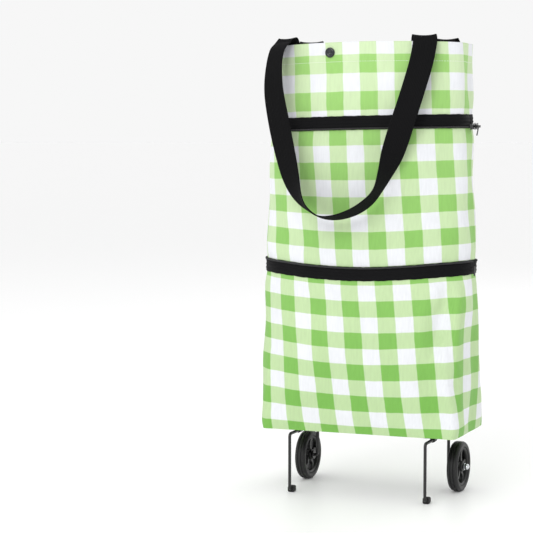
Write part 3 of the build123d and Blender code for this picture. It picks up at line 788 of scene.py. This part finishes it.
def rim_leg(x, skew, yaw):
    """Centre points and width directions of a strap from its sewn end inside the mouth to the outside of
    its fold over the rim. skew carries it sideways over the fold; yaw turns its outer face to the side."""
    cx, _, share, _ = outline(RIM_Z)
    front = np.abs(share) < 0.25
    s = np.interp(x, cx[front], share[front])
    d = 0.012            # share of the girth on either side that gives the wall's direction
    points, widths = [], []
    for z in SEWN_HEIGHTS:
        at, before, after = bag_point(np.array([s, s - d, s + d]), np.full(3, z))
        along = (after - before) * (1, 1, 0)
        along /= np.linalg.norm(along)
        normal = np.array([along[1], -along[0], 0.0])
        points.append(np.array([at[0], at[1], z]) - normal * (FOLD_R + FOLD_IN))
        widths.append(along)
    middle = np.array([at[0], at[1], FOLD_Z]) - normal * FOLD_IN
    side = 1 if x < 0 else -1
    for a in np.linspace(0, math.pi, 9):
        carried = np.array([skew * a / math.pi, 0, FOLD_R * math.sin(a)])
        points.append(middle - normal * FOLD_R * math.cos(a) + carried)
        turn = math.radians(yaw) * a / math.pi
        widths.append(along * math.cos(turn) + normal * math.sin(turn) * side)
    return points, widths


def smooth_line(points, step):
    """Catmull-Rom line through the rows of numbers, the first three a place, sampled every step metres."""
    p = np.array(points, float)
    p = np.vstack([2 * p[0] - p[1], p, 2 * p[-1] - p[-2]])
    out = []
    for i in range(1, len(p) - 2):
        a, b, c, d = p[i - 1:i + 3]
        count = max(2, int(np.linalg.norm((c - b)[:3]) / step))
        for t in np.linspace(0, 1, count, endpoint=False):
            out.append(0.5 * (2 * b + (c - a) * t + (2 * a - 5 * b + 4 * c - d) * t * t
                              + (3 * b - a - 3 * c + d) * t ** 3))
    out.append(p[-2])
    return calmed(np.array(out), 2)


def calmed(rows, times):
    """Each row averaged with its neighbours, this many times over."""
    for _ in range(times):
        rows[1:-1] = 0.25 * rows[:-2] + 0.5 * rows[1:-1] + 0.25 * rows[2:]
    return rows


def unit(rows):
    """Each row at length one."""
    return rows / np.linalg.norm(rows, axis=-1, keepdims=True)


def square_to(along, face):
    """Each width direction made square to the strap's run."""
    return unit(face - along * (face * along).sum(1)[:, None])


def strap_rows(left, right, loop):
    """Places and width directions down the left leg, round the hanging loop and up the right leg."""
    rows = [(*q, *w) for q, w in zip(*rim_leg(*left))]
    places = np.array([r[:3] for r in loop])
    for q, heading, r in zip(places, unit(np.gradient(places, axis=0)), loop):
        across = unit(np.cross((0.0, -1.0, 0.0), heading))
        up = np.cross(heading, across)
        turn = math.radians(r[3])
        rows.append((*q, *(math.cos(turn) * across + math.sin(turn) * up)))
    # walked upwards on this leg, so the width runs the other way
    return rows + [(*q, *(-w)) for q, w in zip(*rim_leg(*right))][::-1]


def strap_section():
    """(across, through) round the webbing's section: lengthwise ribs and rounded edges."""
    lanes = np.linspace(-1, 1, STRAP_LANES)
    rib = 0.00013 * np.cos(np.arange(STRAP_LANES) * np.pi)
    lip = STRAP_T / 2 * np.sqrt(np.clip(1 - np.abs(lanes) ** 14, 0.02, 1))
    outer = np.stack((lanes * STRAP_W / 2, lip + rib), 1)
    return np.vstack([outer, outer[::-1] * (1, -1), outer[:1]])


def strap(name, side, left, right, loop):
    """Webbing from inside the mouth over the rim, round the hanging loop and back, on the front (side -1)
    or the back (side 1). Each row of loop is a place and the turn, in degrees, of the webbing's face away
    from the panel."""
    line = smooth_line(strap_rows(left, right, loop), 0.0025)
    line[:, [1, 4]] *= -side
    p, face = line[:, :3], line[:, 3:]
    along = unit(np.gradient(p, axis=0))
    face = square_to(along, face)
    # neighbouring sections agree, so the strap turns evenly
    for _ in range(4):
        face = square_to(along, calmed(face, 1))
    flat = np.cross(along, face)
    walk = np.concatenate([[0], np.cumsum(np.linalg.norm(np.diff(p, axis=0), axis=1))])
    section = strap_section()
    stations, marks = np.linspace(0, 1, len(p)), np.linspace(0, 1, len(section))

    def place(s, t):
        i = np.rint(s * (len(p) - 1)).astype(int)
        k = np.rint(t * (len(section) - 1)).astype(int)
        return p[i] + face[i] * section[k, :1] + flat[i] * section[k, 1:]

    piece = woven_grid(name, len(p) - 1, len(section) - 1, place, "along",
                       lambda s, t: (np.interp(t, marks, section[:, 0]), np.interp(s, stations, walk)))
    outward(piece, WELD, 200)
    settle(piece, M["webbing"])
    smooth(piece, 50)
    return piece


# Where each leg leaves the rim, how far it goes sideways over the fold, and its turn there in degrees
LEFT_LEG = (-0.1030, -0.0050, 12)
RIGHT_LEG = (0.0800, 0.0040, 4)
HANGING_LOOP = [
    (-0.1120, -0.0575, 0.574, 30), (-0.1150, -0.0620, 0.553, 24), (-0.1140, -0.0655, 0.520, 12),
    (-0.1050, -0.0700, 0.480, 4), (-0.0955, -0.0740, 0.445, 8), (-0.0855, -0.0775, 0.412, 20),
    (-0.0750, -0.0805, 0.388, 44), (-0.0605, -0.0830, 0.371, 70), (-0.0430, -0.0840, 0.3605, 80),
    (-0.0220, -0.0842, 0.3600, 78), (0.0010, -0.0840, 0.3670, 76), (0.0200, -0.0830, 0.3790, 78),
    (0.0335, -0.0815, 0.3950, 84), (0.0430, -0.0790, 0.4180, 66), (0.0520, -0.0755, 0.4450, 34),
    (0.0620, -0.0705, 0.4800, 12), (0.0720, -0.0655, 0.5150, 6), (0.0810, -0.0600, 0.5500, 8),
    (0.0850, -0.0575, 0.5720, 10),
]

for cad, side in (("front", -1), ("back", 1)):
    webbing_strap = strap(cad + "_handle_strap", side, LEFT_LEG, RIGHT_LEG, HANGING_LOOP)
    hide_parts(cad + "_handle")
    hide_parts(cad + "_handle_ends")
    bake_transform(webbing_strap)


# --------------------------------------------------------------------------
# turned and moulded pieces
# --------------------------------------------------------------------------
AXLE_TURN = {"X": Matrix.Rotation(math.pi / 2, 4, "Y"), "Y": Matrix.Rotation(math.pi / 2, 4, "X")}


def turned(name, section, steps, place, axis="X"):
    """Spins a section of (radius, offset along the axle) into a solid of revolution."""
    deselect()
    bpy.ops.mesh.primitive_circle_add(vertices=len(section), radius=1.0, fill_type="NOTHING")
    piece = bpy.context.object
    piece.name = piece.data.name = name
    for v, (radius, offset) in zip(piece.data.vertices, section):
        v.co = (radius, 0, offset)
    bpy.ops.object.mode_set(mode="EDIT")
    bpy.ops.mesh.select_all(action="SELECT")
    bpy.ops.mesh.spin(steps=steps, angle=2 * math.pi, center=(0, 0, 0), axis=(0, 0, 1))
    bpy.ops.object.mode_set(mode="OBJECT")
    outward(piece)
    piece.data.transform(Matrix.Translation(place) @ AXLE_TURN[axis])
    return piece


def mirrored(half):
    """A section's inner half followed by its outer one."""
    return half + [(radius, -offset) for radius, offset in reversed(half)]


AXLE_Z, AXLE_Y, WHEEL_X = 0.0325, 0.035, 0.1059
TYRE_R, TYRE_W = 0.0325, 0.0146
SPOKES, SPOKE_DEPTH = 5, 0.0070


def tyre(name, x):
    """Solid tyre: rounded tread with two grooves, bead lips on both walls."""
    h = TYRE_W / 2
    section = mirrored([
        (0.0250, -h + 0.0022), (0.0258, -h + 0.0006), (0.0275, -h), (0.0290, -h + 0.0003),
        (0.0296, -h + 0.0001), (0.0308, -h + 0.0006), (0.0319, -h + 0.0018), (0.0324, -h + 0.0032),
        (0.03245, -0.0027), (0.0316, -0.0024), (0.0316, -0.0017), (TYRE_R, -0.0014)])
    piece = turned(name, section, 96, (x, AXLE_Y, AXLE_Z))
    settle(piece, M["tyre"])
    smooth(piece, 35)
    return piece


def spoke(x, k):
    """One spoke, swept forwards and waisted between the hub and the ring."""
    deselect()
    bpy.ops.mesh.primitive_grid_add(x_subdivisions=12, y_subdivisions=4, size=1.0)
    piece = bpy.context.object
    for v in piece.data.vertices:
        u, w = v.co.x + 0.5, v.co.y
        radius = 0.0062 + u * 0.0166
        bend = 0.30 * math.sin(math.pi * u) + 2 * math.pi * k / SPOKES
        half = 0.0022 + 0.0016 * (abs(u - 0.5) * 2) ** 2
        v.co = (0.0, radius * math.cos(bend) - 2 * w * half * math.sin(bend),
                radius * math.sin(bend) + 2 * w * half * math.cos(bend))
    wall = piece.modifiers.new("depth", "SOLIDIFY")
    wall.thickness, wall.offset = SPOKE_DEPTH, 0.0
    soft = piece.modifiers.new("moulded_edge", "BEVEL")
    soft.width, soft.segments = 0.0006, 2
    apply_modifiers(piece)
    piece.data.transform(Matrix.Translation((x, AXLE_Y, AXLE_Z)))
    return piece


def rim(name, x):
    """Moulded rim: a channelled ring, five swept spokes and a hub with a bore for the axle."""
    centre = (x, AXLE_Y, AXLE_Z)
    channel = mirrored([(0.0219, -0.0042), (0.0226, -0.0054), (0.0238, -0.0060), (0.0250, -0.0055)])
    boss = mirrored([(0.0023, -0.0066), (0.0056, -0.0066), (0.0066, -0.0060), (0.0070, -0.0048)])
    ring = turned(name, channel, 80, centre)
    hub = turned(name + "_hub", boss, 48, centre)
    parts = [spoke(x, k) for k in range(SPOKES)] + [hub, ring]
    deselect()
    for part in parts:
        part.select_set(True)
    bpy.context.view_layer.objects.active = ring
    bpy.ops.object.join()
    settle(ring, M["rim"])
    smooth(ring, 35)
    return ring


for side, x in (("left", -WHEEL_X), ("right", WHEEL_X)):
    hand_over(tyre(side + "_tread_tyre", x), "tyre_rubber", side + "_wheel", side + "_tyre")
    hand_over(rim(side + "_spoked_rim", x), "rim_plastic", side + "_wheel", side + "_wheel_rim")

PULL_HINGE = (0.1381, 0.0035, 0.4745)
PULL_LONG, PULL_TOP, PULL_T = 0.0130, 0.0014, 0.0011      # its length, reach above the hinge and thickness


def zip_pull_tab():
    """A pressed tab, waisted, that lies towards the cloth."""
    deselect()
    bpy.ops.mesh.primitive_cube_add(size=1.0)
    tab = bpy.context.object
    tab.name = tab.data.name = "zip_pull_tab"
    bpy.ops.object.mode_set(mode="EDIT")
    bpy.ops.mesh.subdivide(number_cuts=5)
    bpy.ops.object.mode_set(mode="OBJECT")
    x, y, z = PULL_HINGE
    for v in tab.data.vertices:
        down = 0.5 - v.co.z
        width = 0.0034 - 0.0012 * math.sin(math.pi * down)
        v.co = (x + PULL_T * v.co.x - 0.0026 * down, y + width * v.co.y, z + PULL_TOP - PULL_LONG * down)
    rounded = tab.modifiers.new("edge", "BEVEL")
    rounded.width, rounded.segments, rounded.angle_limit = 0.0003, 2, math.radians(50)
    apply_modifiers(tab)
    settle(tab, M["enamel"])
    smooth(tab, 40)
    return tab


hand_over(zip_pull_tab(), "zip_metal", "pull", "zip_pull")

# snap on the front wall and its mate behind, pressed with a dimple
SNAP_X, SNAP_Z = -0.042, 0.568
SNAP_SECTION = [(0.0, -0.0002), (0.0060, -0.0002), (0.0064, 0.0004), (0.0064, 0.0012), (0.0060, 0.0019),
                (0.0050, 0.0024), (0.0036, 0.0024), (0.0027, 0.0020), (0.0019, 0.0013), (0.0, 0.0010)]
wall_y = bag_point(np.array([SNAP_X / GIRTH]), np.array([SNAP_Z]))[0][1]
cap = turned("snap_cap_pressed", SNAP_SECTION, 64, (SNAP_X, wall_y, SNAP_Z), "Y")
settle(cap, M["lacquer"])
smooth(cap, 50)
hand_over(cap, "snap_paint", "top", "snap_cap")
mate = cap.copy()
mate.data = cap.data.copy()
mate.name = mate.data.name = "snap_back_pressed"
bpy.context.scene.collection.objects.link(mate)
mate.data.transform(Matrix.Scale(-1, 4, (0, 1, 0)))
mate.data.flip_normals()
hand_over(mate, "snap_paint", "top", "snap_back")

# --------------------------------------------------------------------------
# finishes on the pieces kept from CAD
# --------------------------------------------------------------------------
NODE_FINISH = {
    "enamel": ["zip_pin", "zip_box", "zip_slider"],
    "snap_metal": ["snap_socket", "snap_stud"],
    "base_plastic": ["base_plate"],
    "board": ["stiffener_board"],
    "zinc": ["rivet_washers", "base_rivets", "clip_rivets"],
    "blacked": ["left_axle_washer", "right_axle_washer"],
    "powder": ["left_front_clip", "right_front_clip", "left_rear_clip", "right_rear_clip",
               "left_frame_rod", "right_frame_rod"],
    "foot": ["left_foot_cap", "right_foot_cap"],
    "chrome": ["left_axle_cap", "right_axle_cap"],
}
for finish, names in NODE_FINISH.items():
    for name in names:
        kept = nodes[name].data.materials
        kept.clear()
        kept.append(M[finish])

# --------------------------------------------------------------------------
# floor
# --------------------------------------------------------------------------
deselect()
bpy.ops.mesh.primitive_plane_add(size=400, location=(0, 0, 0))
floor = bpy.context.object
floor.name = "studio_floor"
paper, _ = finish_named("studio_floor_paper", "#FFFFFF", 0.42, Specular_IOR_Level=0.25)
floor.data.materials.append(paper)
